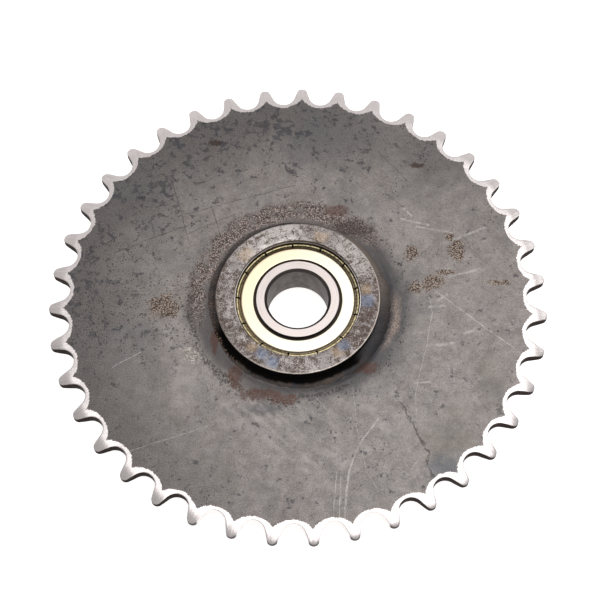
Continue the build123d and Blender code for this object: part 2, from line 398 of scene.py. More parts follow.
def hub_profile():
    """Closed (radius, height) outline: lip and front face, outer wall, rear face, ring groove, seat."""
    edge = FRONT_EDGE_ROUNDING
    front = [
        (BEARING_SEAT_RADIUS, BEARING_FACE), (LIP_RADIUS, BEARING_FACE), (LIP_RADIUS, HUB_HIGH - 0.2),
        (LIP_RADIUS + 0.08, HUB_HIGH - 0.06), (LIP_RADIUS + 0.25, HUB_HIGH),
        (22.5, HUB_HIGH), (24.5, HUB_HIGH), (HUB_RADIUS - 2 * edge, HUB_HIGH),
        (HUB_RADIUS - edge, HUB_HIGH - 0.01), (HUB_RADIUS - 0.3 * edge, HUB_HIGH - 0.3 * edge),
        (HUB_RADIUS, HUB_HIGH - edge),
    ]
    wall_heights = (7.4, 6.6, 5.8, 5.0, 4.2, 3.0, 0.5, -1.0, -3.0, -5.0, -7.0, -9.0, HUB_LOW + 0.5)
    wall = [(HUB_RADIUS, height) for height in wall_heights]
    rear = [
        (HUB_RADIUS - 0.5, HUB_LOW), (25.3, HUB_LOW), (BEARING_SEAT_RADIUS + REAR_CHAMFER, HUB_LOW),
        (BEARING_SEAT_RADIUS, HUB_LOW + REAR_CHAMFER), (BEARING_SEAT_RADIUS, RING_GROOVE_REAR),
        (RING_GROOVE_RADIUS, RING_GROOVE_REAR), (RING_GROOVE_RADIUS, -BEARING_FACE),
        (BEARING_SEAT_RADIUS, -BEARING_FACE), (BEARING_SEAT_RADIUS, 0.0),
    ]
    return front + wall + rear


def add_hub(material):
    """Turned ring with small dents along its outer front edge."""
    profile = hub_profile()
    steps = 360
    sections = []
    for i in range(steps):
        angle = 2 * pi * i / steps
        dent = 0.12 * max(wander(angle, 7, DENT_SEED) - 0.25, 0) + 0.05 * wander(angle, 30, SCUFF_SEED)
        section = []
        for radius, height in profile:
            at_front_edge = radius > HUB_RADIUS - 0.3 and height > HUB_HIGH - 0.6
            section.append((radius - (dent if at_front_edge else 0.0), height))
        sections.append((angle, section))
    vertices, faces = revolve(sections)
    replaced = ["hub_housing"]
    add_piece("hub_ring", vertices, faces, "sprocket", [material], replaced, sharp=32)


# ---- welds


def around(table, angle):
    """Smoothly interpolated value from (azimuth in degrees, value) pairs that go once round."""
    azimuth = degrees(angle) % 360
    ring = [*table, (table[0][0] + 360, table[0][1])]
    for (low, before), (high, after) in zip(ring, ring[1:]):
        for turn in (0, 360):
            if low <= azimuth + turn <= high:
                t = (azimuth + turn - low) / (high - low)
                return before + (after - before) * t * t * (3 - 2 * t)
    return table[0][1]


def bead_profile(angle, ripples, face, outward, leg, rise, seed):
    """Closed profile of the bead at an angle: its rippled top from toe to hub, then its sunk foot."""
    across = 12
    slope = hypot(leg, rise)
    fullness = 0.10 * leg * (1 + 0.5 * wander(angle, 6, seed + 2))
    start_phase = angle * ripples + 1.5 * wander(angle, 14, seed + 6)
    profile = []
    for j in range(across + 1):
        t = j / across
        phase = start_phase + 2 * pi * 2.2 * (t - 0.45) ** 2
        ripple = 0.07 * abs(sin(phase / 2)) ** 0.7 * sin(pi * min(max(t, 0.06), 0.94))
        place = Vector((cos(angle), sin(angle), t * 0.12 + seed))
        grit = 0.07 * noise.fractal(place * 55, 1.0, 2.0, 3) if 0 < j < across else 0
        lift = fullness * sin(pi * t) + ripple + grit
        radius = HUB_RADIUS + leg * (1 - t) + lift * rise / slope
        profile.append((radius, rise * t + lift * leg / slope))
    inside = HUB_RADIUS - 0.1
    profile += [(inside, rise), (inside, -WELD_FOOT_DEPTH), (HUB_RADIUS + leg, -WELD_FOOT_DEPTH)]
    return [(radius, face + outward * up) for radius, up in profile]


def add_weld(name, node, face, outward, legs, rises, seed, material):
    """Fillet bead that wanders in width and height, with curved ripples across it."""
    sections = []
    steps = 900
    ripples = int(2 * pi * (HUB_RADIUS + 1.5) / WELD_RIPPLE)
    for i in range(steps):
        angle = 2 * pi * i / steps
        leg_wander = 0.15 * wander(angle, 2.2, seed) + 0.10 * wander(angle, 9, seed + 4)
        leg = around(legs, angle) * (1 + leg_wander)
        rise = around(rises, angle) * (1 + 0.14 * wander(angle, 3.1, seed + 9))
        profile = bead_profile(angle, ripples, face, outward, leg, rise, seed)
        sections.append((angle, profile if outward > 0 else profile[::-1]))
    vertices, faces = revolve(sections)
    add_piece(name, vertices, faces, "sprocket", [material], [node], sharp=60)


# ---- shields


def shield_profiles():
    """The sheet's outside, from hole to rim, and its inside, from rim to hole: (radius, height)."""
    outside = smooth_profile(
        [
            (SHIELD_HOLE_RADIUS, 6.02), (14.47, 6.2), (14.62, 6.33), (15.2, 6.35), (16.6, 6.35),
            (17.8, 6.35), (18.2, 6.33), (18.46, 6.2), (18.7, 5.99), (18.95, 5.88), (19.18, 5.94),
            (19.4, 6.18), (19.68, 6.4), (19.98, 6.34), (20.2, 6.05), (20.33, 5.7),
            (SHIELD_RIM_RADIUS, SHIELD_FOOT),
        ]
    )
    inside = smooth_profile(
        [
            (20.0, SHIELD_FOOT), (19.95, 5.7), (19.72, 6.02), (19.45, 5.78), (19.1, 5.52), (18.8, 5.56),
            (18.45, 5.84), (17.8, 5.97), (15.2, 5.97), (SHIELD_HOLE_RADIUS, 5.95),
        ],
        cuts=2,
    )
    return outside, inside


def add_shield(name, node, outward, material):
    """Pressed sheet: flat ring, rolled valley and crimped rim with notches."""
    outside, inside = shield_profiles()
    sector = 2 * pi / NOTCHES
    half_notch = NOTCH_WIDTH / 2 / NOTCH_MIDDLE_RADIUS
    within = np.linspace(-half_notch, half_notch, 5)
    between = np.linspace(half_notch * 1.15, sector - half_notch * 1.15, 34)
    sections = []
    for k in range(NOTCHES):
        for n, offset in enumerate([*within, *between]):
            section = []
            for profile, floor in ((outside, NOTCH_FLOOR), (inside, SHIELD_FOOT)):
                for radius, height in profile:
                    notched = n < len(within) and radius > NOTCH_INNER_RADIUS
                    section.append((radius, outward * (min(height, floor) if notched else height)))
            angle = FIRST_NOTCH_ANGLE + k * sector + offset
            sections.append((angle, section[::-1] if outward > 0 else section))
    vertices, faces = revolve(sections)
    add_piece(name, vertices, faces, "sprocket", [material], [node], sharp=40)


# ---- materials


class Shader:
    """Builds one material; values are sockets, numbers or colours."""

    def __init__(self, name):
        self.material = bpy.data.materials.new(name)
        self.material.use_nodes = True
        self.tree = self.material.node_tree
        self.tree.nodes.clear()
        self.surface = self.tree.nodes.new("ShaderNodeBsdfPrincipled")
        output = self.tree.nodes.new("ShaderNodeOutputMaterial")
        self.tree.links.new(self.surface.outputs[0], output.inputs[0])
        self.place = self.tree.nodes.new("ShaderNodeTexCoord").outputs["Object"]
        parts = self.node("ShaderNodeSeparateXYZ", {0: self.place})
        self.x, self.y, self.z = (self.math("DIVIDE", parts.outputs[k], MM) for k in range(3))
        self.radius = self.distance(self.x, self.y)
        self.angle = self.math("ARCTAN2", self.y, self.x)
        self.front = self.ramp(self.z, *FRONT_MARKS)

    def set(self, socket, value):
        if isinstance(value, bpy.types.NodeSocket):
            self.tree.links.new(value, socket)
        elif socket.type == "RGBA":
            shade = value if isinstance(value, tuple) else (value, value, value)
            socket.default_value = (*shade, 1)
        else:
            socket.default_value = value

    def node(self, kind, inputs=None, **settings):
        made = self.tree.nodes.new(kind)
        for key, value in settings.items():
            setattr(made, key, value)
        for key, value in (inputs or {}).items():
            self.set(made.inputs[key], value)
        return made

    def math(self, operation, a, b=0.0):
        return self.node("ShaderNodeMath", {0: a, 1: b}, operation=operation).outputs[0]

    def chain(self, operation, values):
        total = values[0]
        for value in values[1:]:
            total = self.math(operation, total, value)
        return total

    def add(self, *values):
        return self.chain("ADD", values)

    def times(self, *values):
        return self.chain("MULTIPLY", values)

    def most(self, *values):
        return self.chain("MAXIMUM", values)

    def minus(self, a, b):
        return self.math("SUBTRACT", a, b)

    def distance(self, x, y):
        return self.math("SQRT", self.add(self.times(x, x), self.times(y, y)))

    def ramp(self, value, low, high, start=0.0, end=1.0):
        inputs = {"Value": value, "From Min": low, "From Max": high, "To Min": start, "To Max": end}
        return self.node("ShaderNodeMapRange", inputs, interpolation_type="SMOOTHSTEP").outputs[0]

    def window(self, value, low, high, soft):
        """1 between low and high, 0 outside, with soft edges."""
        above = self.ramp(value, low - soft, low + soft)
        return self.times(above, self.ramp(value, high + soft, high - soft))

    def mix(self, factor, a, b):
        made = self.node("ShaderNodeMix", data_type="RGBA")
        self.set(made.inputs[0], factor)
        self.set(made.inputs[6], a)
        self.set(made.inputs[7], b)
        return made.outputs[2]

    def paint(self, color, tint, *covers):
        """The color, with a tint over it as far as the product of the covers."""
        return self.mix(self.times(*covers), color, tint)

    def noise(self, size, detail=4.0, roughness=0.55, distortion=0.0, place=None):
        """Noise with features about size millimetres across, from 0 to 1."""
        inputs = {
            "Vector": place or self.place, "Scale": 1 / (size * MM), "Detail": detail,
            "Roughness": roughness, "Distortion": distortion,
        }
        return self.node("ShaderNodeTexNoise", inputs).outputs[0]

    def waver(self, reach, size, detail=4.0, roughness=0.55):
        """Noise about 0, over a range of reach."""
        return self.times(self.minus(self.noise(size, detail, roughness), 0.5), reach)

    def dots(self, size, radius):
        """Round dots of a radius in millimetres, one in each cell of a size in millimetres."""
        cells = self.node("ShaderNodeTexVoronoi", {"Vector": self.place, "Scale": 1 / (size * MM)})
        share = radius / size
        away = self.add(cells.outputs["Distance"], self.waver(0.9 * share, radius * 1.2, 3, 0.7))
        return self.ramp(away, share, 0.6 * share)

    def toward(self, azimuth):
        """Cosine of the angle from an azimuth in degrees."""
        return self.math("COSINE", self.minus(self.angle, radians(azimuth)))

    def facing(self, azimuth, width):
        """1 at an azimuth in degrees, falling to 0 at width degrees away."""
        return self.ramp(self.toward(azimuth), cos(radians(width)), 1.0)

    def along(self, turn, across, length):
        """Coordinates for lines that run at turn degrees, in proportion across to length."""
        mapped = self.node("ShaderNodeMapping", {"Vector": self.place}, vector_type="TEXTURE")
        mapped.inputs["Rotation"].default_value = (0, 0, radians(turn))
        mapped.inputs["Scale"].default_value = (length, across, 1)
        return mapped.outputs[0]

    def polar(self, per_radius, per_angle):
        """Coordinates for marks that run round the axis or out from it."""
        inputs = {
            0: self.times(self.radius, per_radius * MM),
            1: self.times(self.angle, per_angle * MM),
            2: self.times(self.z, MM),
        }
        return self.node("ShaderNodeCombineXYZ", inputs).outputs[0]

    def spot(self, x, y, wide, high, ragged, soft=0.3):
        """Patch with an uneven outline about (x, y), in millimetres; ragged is a noise from 0 to 1."""
        off_x = self.math("DIVIDE", self.minus(self.x, x), wide)
        off_y = self.math("DIVIDE", self.minus(self.y, y), high)
        uneven = self.times(self.minus(ragged, 0.5), 2.6)
        return self.ramp(self.add(self.distance(off_x, off_y), uneven), 1 + soft, 1 - soft)

    def spots(self, places, ragged):
        """All of the patches (x, y, half width, half height) together."""
        return self.most(*(self.spot(*place, ragged) for place in places))

    def stroke(self, start, end, width, wavy=0.0):
        """Line between two points (x, y), as wide as width, in millimetres."""
        dx, dy = end[0] - start[0], end[1] - start[1]
        length = hypot(dx, dy)
        px = self.minus(self.x, start[0])
        py = self.minus(self.y, start[1])
        run = self.add(self.times(px, dx / length), self.times(py, dy / length))
        side = self.add(self.times(px, -dy / length), self.times(py, dx / length), wavy)
        beyond = self.most(self.minus(run, length), self.times(run, -1), 0.0)
        return self.ramp(self.distance(beyond, side), width, 0.25 * width)

    def strokes(self, lines, wavy):
        """All of the lines (start, end, width) together."""
        return self.most(*(self.stroke(start, end, width, wavy) for start, end, width in lines))

    def finish(self, color, roughness, metallic, height, strength, depth, specular=0.5):
        """The material, with bumps as deep as depth in metres where height is 1."""
        self.set(self.surface.inputs["Specular IOR Level"], specular)
        self.set(self.surface.inputs["Base Color"], color)
        self.set(self.surface.inputs["Roughness"], roughness)
        self.set(self.surface.inputs["Metallic"], metallic)
        bump = self.node("ShaderNodeBump", {"Strength": strength, "Distance": depth, "Height": height})
        self.set(self.surface.inputs["Normal"], bump.outputs[0])
        return self.material


def bare_band(s):
    """1 on the machined steel round each tooth gap, with a ragged edge to the scale."""
    turned = s.minus(s.angle, FIRST_TOOTH_ANGLE + HALF_STEP)
    whole = s.math("ROUND", s.math("DIVIDE", turned, 2 * HALF_STEP))
    nearest = s.minus(turned, s.times(whole, 2 * HALF_STEP))
    along = s.minus(s.times(s.radius, s.math("COSINE", nearest)), BAND_CENTRE)
    across = s.times(s.radius, s.math("SINE", nearest))
    past = s.minus(BAND_RADIUS, s.distance(along, across))
    inside = s.add(past, s.waver(1.1, 0.45, 2, 0.7), s.waver(0.9, 3.0, 2))
    return s.ramp(inside, -0.06, 0.08)


def scale_tone(s, mottle, grain):
    """Warm grey mill scale, with painted shade that darkens it towards the rim on the upper left."""
    streak = s.noise(5.0, 3, 0.5, 0.3, s.along(35, 1, 5))
    color = s.mix(s.ramp(mottle, 0.32, 0.68), (0.25, 0.224, 0.212), (0.305, 0.276, 0.262))
    color = s.paint(color, (0.315, 0.287, 0.272), s.ramp(streak, 0.4, 0.65, 0.0, 0.45))
    # Painted shade: the scale is darkened towards the rim on the upper left, the side the light falls
    # on least.
    away = s.ramp(s.add(s.radius, s.waver(24.0, 22, 3)), 39, 75)
    upper_left = s.ramp(s.toward(152), -1.0, 0.7)
    color = s.paint(color, (0.07, 0.064, 0.067), away, upper_left, 0.79)
    bluish = s.ramp(s.noise(12, 3, 0.5, 0.5), 0.5, 0.66)
    color = s.paint(color, (0.13, 0.138, 0.148), bluish, 0.32)
    cloud = s.times(s.spot(10, 61, 11, 12, s.noise(7, 4), 0.8), s.front)
    color = s.paint(color, (0.085, 0.085, 0.098), cloud, 0.5)
    smoke = s.ramp(s.noise(7.5, 5, 0.6, 0.4), 0.44, 0.66)
    color = s.paint(color, (0.14, 0.125, 0.118), smoke, 0.3)
    color = s.paint(color, (0.12, 0.107, 0.10), s.ramp(s.noise(0.9, 4, 0.7), 0.42, 0.7, 0.0, 0.42))
    color = s.paint(color, (0.42, 0.385, 0.365), s.ramp(grain, 0.50, 0.36, 0.0, 0.26))
    return s.paint(color, (0.10, 0.09, 0.083), s.ramp(grain, 0.50, 0.64, 0.0, 0.45))


def scale_blotches(s):
    """Crisp darker islands of scale, most of them near the rim from the left to the top."""
    upper_left = s.ramp(s.toward(128), 0.1, 0.9)
    zone = s.times(upper_left, s.ramp(s.radius, 40, 70))
    island = s.add(s.noise(2.4, 4, 0.62, 0.3), s.times(zone, 0.085), s.times(s.noise(10, 2), 0.28))
    ring = s.add(s.noise(2.2, 3, 0.55, 0.2), s.times(zone, 0.05), s.times(s.noise(13, 2), 0.1))
    ring = s.window(ring, 0.70, 0.725, 0.012)
    return s.most(s.ramp(island, 0.748, 0.815), s.times(ring, 0.6))


def fine_pits(s):
    """Black pinholes, dense on the left and round the outside of the heated zone."""
    left = s.spot(-55, 2, 17, 17, s.noise(6, 3), 0.6)
    spread = s.add(s.noise(8, 3), s.times(left, 0.22), s.times(s.facing(-50, 90), -0.06))
    small = s.times(s.dots(0.95, 0.27), s.ramp(spread, 0.555, 0.64))
    sparse = s.times(s.dots(3.4, 0.24), s.ramp(s.noise(11, 2), 0.48, 0.58))
    arc = s.times(s.window(s.radius, 34.8, 37.2, 0.6), s.ramp(s.noise(5, 2), 0.45, 0.55))
    return s.most(small, sparse, s.times(s.dots(1.0, 0.34), arc))


def bent(points, widths):
    """A bent line as (start, end, width) pieces."""
    return list(zip(points, points[1:], widths))


# Marks on the plate's front, placed in millimetres from the axis.
# Spots are (x, y, half width, half height); lines are (start, end, width).
CRUST_SPOTS = [
    (-43.5, -1, 4.6, 4.0), (44.5, 6.4, 3.4, 2.8), (39, 4.8, 2.6, 2.0), (53, 18, 2.6, 3.6),
    (51, 23, 1.4, 1.6), (38, 17.5, 2.4, 2.6), (66, 6.2, 3.8, 1.0), (48.5, 10, 2.6, 1.0),
]
WELD_RUST_SPOTS = [
    (-12, -32.0, 6.5, 1.9), (-4.5, -34.0, 4.6, 1.8), (-20, -25.5, 2.4, 4.2),
    (21.5, -23.5, 3.8, 1.9), (-27.0, -13.5, 1.2, 4.0), (13.5, 33.5, 4.0, 1.9),
]
DARK_RUST_SPOTS = [(-27.5, 60, 2.4, 1.2), (41.3, 50.3, 2.2, 0.9)]
SCRATCHES = [
    ((45.5, 3.0), (70.0, -17.5), 0.30), ((35, 30), (44, 27.5), 0.55), ((36, 34), (38.5, 31), 0.5),
    ((40, 27), (52, 24.5), 0.45), ((52, 22), (63, 26.5), 0.6), ((50, 8.5), (60, 11), 0.6),
    ((43, -2.5), (48, -2), 0.7), ((45, -15.8), (50, -15.2), 0.8), ((46, 0), (49, 2), 0.5),
    ((54, -12), (57, -11), 0.6), ((37, -29), (42, -28.6), 0.4),
    *bent([(43, 1.5), (43.8, -4.5), (41.5, -16), (38.8, -25.5), (37, -34), (37.3, -42.5)],
          [0.2, 0.2, 0.18, 0.16, 0.14]),
    *bent([(25.2, -40.7), (20.3, -47.5), (17.6, -52.2), (15.4, -58.5), (14.4, -64.7), (13.5, -75)],
          [0.36, 0.42, 0.46, 0.5, 0.5]),
    ((12.8, -60), (11.8, -77), 0.26), ((11.6, -58), (9.8, -77), 0.2),
    *bent([(17.3, -30), (18.3, -43.7), (21, -58.5), (24.2, -64.7)], [0.13, 0.13, 0.13]),
    ((5.3, -33), (9, -38), 0.13), ((-51, -17), (-60, -22), 0.22), ((-27, -42), (-58, -52), 0.16),
]
WIPES = [
    ((-24, -36), (3, -58), 1.2), ((-19, -36), (8, -58), 1.0), ((-13, -37), (14, -56), 1.4),
    ((-7, -39), (18, -58), 0.8), ((-41, -8), (-36, -32), 6.0), ((4, -37), (22, -52), 1.4),
    ((20, -34), (30, -48), 2.4),
]
HAIRLINES = [
    ((-60.5, 19), (-32, 30.6), 0.2), ((-40, 32), (-0.7, 43.4), 0.2),
    ((-41.7, 44.7), (-35.7, 22.2), 0.2), ((-28.6, 35.7), (-25.3, 24.4), 0.24),
    ((-49.6, 32.3), (-47.4, 25), 0.2), ((-38, 25), (-20, 33), 0.16), ((28, 56), (38, 44), 0.13),
    ((30, 40), (37, 33), 0.14), ((-30, 62), (-18, 58), 0.22),
]
CRACK = [((31, -33), (39, -49), 0.4), ((38.6, -47), (42, -63), 0.5)]


def rust_clusters(s):
    """Crusty brown spots."""
    return s.times(s.spots(CRUST_SPOTS, s.noise(2.2, 4, 0.65)), s.front)


def pale_marks(s):
    """Scratches that show lighter than the scale."""
    broken = s.ramp(s.noise(1.3, 3, 0.6), 0.38, 0.6, 0.25, 1.0)
    return s.times(s.strokes(SCRATCHES, s.waver(0.9, 9, 3)), broken, s.front)


def wiped_streaks(s):
    """Broad soft streaks below the hub, where the scale was rubbed lighter."""
    broken = s.ramp(s.noise(3.0, 4, 0.6), 0.3, 0.65)
    return s.times(s.strokes(WIPES, s.waver(5.0, 14, 3)), broken, s.front)


def dark_marks(s):
    """Hairlines in the scale on the upper left, and the crack-like stain at the lower right."""
    broken = s.ramp(s.noise(2.0, 3, 0.6), 0.36, 0.52, 0.3, 1.0)
    hairlines = s.times(s.strokes(HAIRLINES, s.waver(1.2, 7, 3)), broken)
    crack = s.strokes(CRACK, s.waver(6.0, 5, 4, 0.65))
    crack = s.times(crack, s.ramp(broken, 0.3, 1.0, 0.45, 0.95))
    return s.times(s.most(hairlines, crack), s.front)


def stained(s, color):
    """Soft brown and bluish stains on the lower right, and two dark rust spots near the rim."""
    ragged = s.noise(6, 4, 0.6)
    brown = s.most(s.spot(48, -48, 7, 9, ragged, 0.8), s.spot(61, -28, 3.2, 10, ragged, 0.8))
    color = s.paint(color, (0.155, 0.137, 0.118), brown, s.front, 0.42)
    bluish = s.spot(46.5, -59, 6.0, 6.0, s.noise(4, 3), 0.5)
    color = s.paint(color, (0.105, 0.117, 0.135), bluish, s.front, 0.6)
    upper_right = s.spot(50, 53, 14, 10, ragged, 0.8)
    color = s.paint(color, (0.085, 0.08, 0.084), upper_right, s.front, 0.4)
    under_hub = s.spot(-12, -37, 8, 2.0, ragged, 0.6)
    color = s.paint(color, (0.06, 0.062, 0.074), under_hub, s.front, 0.6)
    dark_rust = s.spots(DARK_RUST_SPOTS, s.noise(1.6, 4, 0.65))
    return s.paint(color, (0.052, 0.034, 0.028), dark_rust, s.front, 0.85)


def granular_band(s, color, wavy_radius, upper_left):
    """Burnt granules on the upper left of the weld, with bright grains among them."""
    band = s.times(s.window(wavy_radius, 30.2, 36.4, 1.2), s.ramp(upper_left, 0.0, 0.5))
    clumps = s.ramp(s.noise(3.2, 4, 0.65, 0.3), 0.34, 0.52)
    color = s.paint(color, (0.055, 0.041, 0.038), band, clumps, 0.93)
    grains = s.ramp(s.noise(0.4, 2, 0.8), 0.505, 0.57)
    shown = s.ramp(clumps, 0, 1, 0.35, 0.95)
    return s.paint(color, (0.42, 0.345, 0.318), band, grains, shown)


def heated_scale(s, color):
    """Burnt surface round the weld: dark next to it, granular beyond, with red rust patches and a
    painted highlight on the swell at the right.
    """
    wavy_radius = s.add(s.radius, s.waver(7.0, 9, 4))
    upper_left = s.facing(115, 95)
    near = s.times(s.ramp(wavy_radius, 37.6, 31.0), s.ramp(upper_left, 0, 1, 0.82, 0.6))
    color = s.paint(color, (0.07, 0.065, 0.066), near)
    right = s.times(s.facing(-22, 62), s.ramp(wavy_radius, 42, 32))
    color = s.paint(color, (0.045, 0.047, 0.055), right, 0.6)
    color = granular_band(s, color, wavy_radius, upper_left)

    broken = s.ramp(s.noise(0.8, 3, 0.7), 0.45, 0.55)
    left_arc = s.times(s.window(s.add(wavy_radius, 1.6), 36.2, 38.2, 0.6), s.facing(210, 58))
    lower_arc = s.times(s.window(s.radius, 32.4, 33.8, 0.5), s.facing(-74, 24))
    color = s.paint(color, (0.036, 0.03, 0.028), s.most(left_arc, lower_arc), broken, 0.8)
    speck = s.ramp(s.noise(0.5, 3, 0.75), 0.46, 0.56)
    # Painted highlight: light brown discolouration on the swell right of the weld, painted bright as
    # its highlight and broken into specks.
    streak = s.times(s.window(wavy_radius, 31.5, 33.5, 0.9), s.facing(-14, 24))
    color = s.paint(color, (0.30, 0.235, 0.20), streak, s.ramp(speck, 0, 1, 0.3, 0.9))
    ragged = s.noise(2.4, 4, 0.65)
    burnt = s.times(s.spot(19.0, 26.5, 6.0, 3.4, ragged, 0.5), s.front)
    color = s.paint(color, (0.05, 0.038, 0.035), burnt, s.ramp(speck, 0, 1, 0.85, 0.5))
    rust = s.times(s.spots(WELD_RUST_SPOTS, ragged), s.front)
    return s.paint(color, (0.085, 0.038, 0.027), rust, s.ramp(speck, 0, 1, 0.5, 0.85))


def crusted(s, color, clusters, crust):
    """Grainy rust in the crusty spots, and one chalky spot at the lower left of the hub."""
    chalky = s.times(s.spot(-34.3, -18.2, 3.0, 2.8, s.noise(2.2, 4, 0.65)), s.front)
    chalk = s.mix(s.ramp(crust, 0.44, 0.56), (0.12, 0.10, 0.09), (0.50, 0.455, 0.42))
    color = s.paint(color, chalk, chalky, s.ramp(crust, 0.40, 0.5, 0.2, 0.85))
    grain = s.ramp(s.noise(0.5, 2, 0.7), 0.47, 0.57)
    rusty = s.mix(grain, (0.075, 0.048, 0.034), (0.44, 0.36, 0.305))
    return s.paint(color, rusty, clusters, s.ramp(crust, 0.36, 0.48, 0.4, 0.95))


def band_steel(s, lines):
    """Bare machined steel with turning lines and a few rusty specks."""
    steel = s.mix(s.ramp(lines, 0.3, 0.7), (0.60, 0.555, 0.55), (0.80, 0.75, 0.74))
    specks = s.times(s.dots(1.5, 0.16), s.ramp(s.noise(6, 2), 0.5, 0.6))
    return s.paint(steel, (0.14, 0.09, 0.07), specks, 0.7)


def mill_scale():
    """Hot-rolled plate: grey scale with its marks, and bare steel round the tooth gaps."""
    s = Shader("mill_scale")
    bare = bare_band(s)
    grain = s.noise(0.38, 2, 0.75)
    mottle = s.noise(3.4, 6, 0.6, 0.15)
    crust = s.noise(0.75, 3, 0.7)
    lines = s.noise(1.0, 3, 0.6, 0.0, s.polar(0.22, ARC_RADIUS / 0.2))
    pits = fine_pits(s)
    clusters = rust_clusters(s)
    blotches = scale_blotches(s)
    scratches = pale_marks(s)

    color = scale_tone(s, mottle, grain)
    uneven = s.ramp(s.noise(1.1, 3, 0.6), 0.3, 0.65, 0.45, 0.85)
    color = s.paint(color, (0.055, 0.053, 0.061), blotches, uneven)
    color = stained(s, color)
    color = s.paint(color, (0.37, 0.34, 0.325), wiped_streaks(s), 0.44)
    color = heated_scale(s, color)
    color = s.paint(color, (0.045, 0.04, 0.04), dark_marks(s), 0.7)
    color = s.paint(color, (0.02, 0.016, 0.014), pits, 0.85)
    color = crusted(s, color, clusters, crust)
    color = s.paint(color, (0.48, 0.455, 0.445), scratches, 0.62)
    color = s.paint(color, band_steel(s, lines), bare)

    scale_rough = s.ramp(mottle, 0.3, 0.7, 0.5, 0.42)
    scale_rough = s.add(scale_rough, s.times(clusters, 0.2), s.times(blotches, -0.05))
    rough = s.mix(bare, scale_rough, s.ramp(lines, 0.3, 0.7, 0.31, 0.22))
    height = s.add(s.times(grain, 0.3), s.times(mottle, 0.4), s.times(pits, -0.9))
    height = s.add(height, s.times(clusters, crust, 1.2), s.times(scratches, -0.3))
    height = s.mix(bare, height, s.times(lines, 0.4))
    return s.finish(color, rough, s.ramp(bare, 0, 1, 0.8, 1.0), height, strength=0.35, depth=0.00008)


def cut_wall():
    """Punched and milled tooth walls, oxidised brown, with drag lines across the thickness and painted
    light on the gap bottoms of the lower side.
    """
    s = Shader("tooth_wall")
    drag = s.noise(0.35, 3, 0.6, 0.0, s.polar(1.0, ARC_RADIUS))
    patch = s.noise(2.2, 4, 0.6)
    color = s.mix(s.ramp(drag, 0.3, 0.7), (0.011, 0.0065, 0.005), (0.034, 0.022, 0.018))
    color = s.paint(color, (0.055, 0.034, 0.026), s.ramp(patch, 0.5, 0.65, 0.0, 0.5))
    # Painted light: the walls at the gap bottoms on the lower side are painted near white and made
    # metallic, fainter up the flanks.
    painted_lit_walls = s.times(s.facing(-92, 29), s.ramp(drag, 0.2, 0.5, 0.85, 1.0))
    painted_lit_walls = s.times(s.ramp(painted_lit_walls, 0.1, 0.4), s.ramp(s.radius, 80.9, 79.8, 0.1, 1.0))
    color = s.paint(color, (0.86, 0.82, 0.80), painted_lit_walls)
    rough = s.add(s.ramp(drag, 0.3, 0.7, 0.55, 0.7), s.times(painted_lit_walls, -0.3))
    return s.finish(color, rough, painted_lit_walls, drag, strength=0.3, depth=0.00006, specular=0.03)


def weld_oxide():
    """Burnt weld metal: granular on the upper left, rusty at the sides, painted black as shadow under
    the hub's lip on the near side.
    """
    s = Shader("weld_oxide")
    fine = s.noise(0.5, 4, 0.7)
    patch = s.noise(5, 4, 0.6, 0.5)
    color = s.mix(s.ramp(patch, 0.4, 0.6), (0.062, 0.06, 0.066), (0.10, 0.078, 0.066))
    uneven = s.add(s.radius, s.waver(2.5, 4, 3))
    toe = s.ramp(uneven, 27.4, 29.8)
    left = s.facing(140, 85)
    color = s.paint(color, s.mix(toe, (0.036, 0.031, 0.03), (0.092, 0.081, 0.077)), left, 0.9)
    granules = s.times(s.ramp(s.noise(0.4, 2, 0.8), 0.51, 0.58), toe, left)
    color = s.paint(color, (0.36, 0.295, 0.27), granules, 0.7)
    color = s.paint(color, (0.04, 0.042, 0.05), s.facing(-18, 48), 0.75)
    upper_right = s.facing(42, 58)
    color = s.paint(color, (0.27, 0.225, 0.195), upper_right, s.ramp(fine, 0.35, 0.6, 0.5, 0.9))
    bright = s.times(s.ramp(fine, 0.56, 0.64), s.facing(195, 40))
    color = s.paint(color, (0.36, 0.27, 0.21), bright, 0.8)
    rust = s.ramp(s.noise(2.2, 4, 0.65), 0.56, 0.63)
    color = s.paint(color, (0.10, 0.05, 0.034), rust, s.facing(-150, 75), 0.7)
    # Painted shadow: on the near side of the hub the weld is painted black where the hub's lip shades
    # it.
    painted_hub_shadow = s.times(s.ramp(s.facing(-103, 76), 0.0, 0.5), s.ramp(uneven, 29.6, 28.4))
    color = s.paint(color, (0.002, 0.002, 0.002), painted_hub_shadow, 0.96)
    rusty = s.times(s.facing(203, 30), s.ramp(uneven, 28.0, 28.5), s.ramp(fine, 0.52, 0.6))
    color = s.paint(color, (0.30, 0.20, 0.15), rusty, 0.85)
    brown = s.times(s.facing(0, 34), s.ramp(s.noise(0.7, 3, 0.7), 0.5, 0.58))
    color = s.paint(color, (0.12, 0.08, 0.062), brown, 0.6)
    # The painted shadow also takes away the weld's metallic and specular sheen.
    metallic = s.ramp(painted_hub_shadow, 0, 1, 0.7, 0.0)
    specular = s.ramp(painted_hub_shadow, 0, 1, 0.4, 0.0)
    rough = s.ramp(fine, 0.3, 0.7, 0.5, 0.7)
    return s.finish(color, rough, metallic, fine, strength=0.5, depth=0.00015, specular=specular)


# Heat tints on the hub's face: (azimuth and half width in degrees, inner and outer radius)
STRAW_TINTS = [
    (137, 9, 21.5, 25), (70, 8, 21.5, 25), (6, 7, 20.5, 24), (-130, 6, 21, 24), (-57, 6, 21, 25),
]
BLUE_TINTS = [(-4, 8, 20.5, 24.5), (-121, 7, 21, 24.5), (-110, 6, 22, 25.5), (-50, 7, 21, 24)]


def tempered(s, color, tints, tint, strength):
    """Heat tints with uneven edges, on the front face only."""
    for azimuth, width, low, high in tints:
        across = s.window(s.add(s.radius, s.waver(3.0, 2.5, 3)), low, high, 0.9)
        place = s.times(s.facing(azimuth, width), across, s.ramp(s.z, 7.0, 7.6))
        color = s.paint(color, tint, place, strength)
    return color


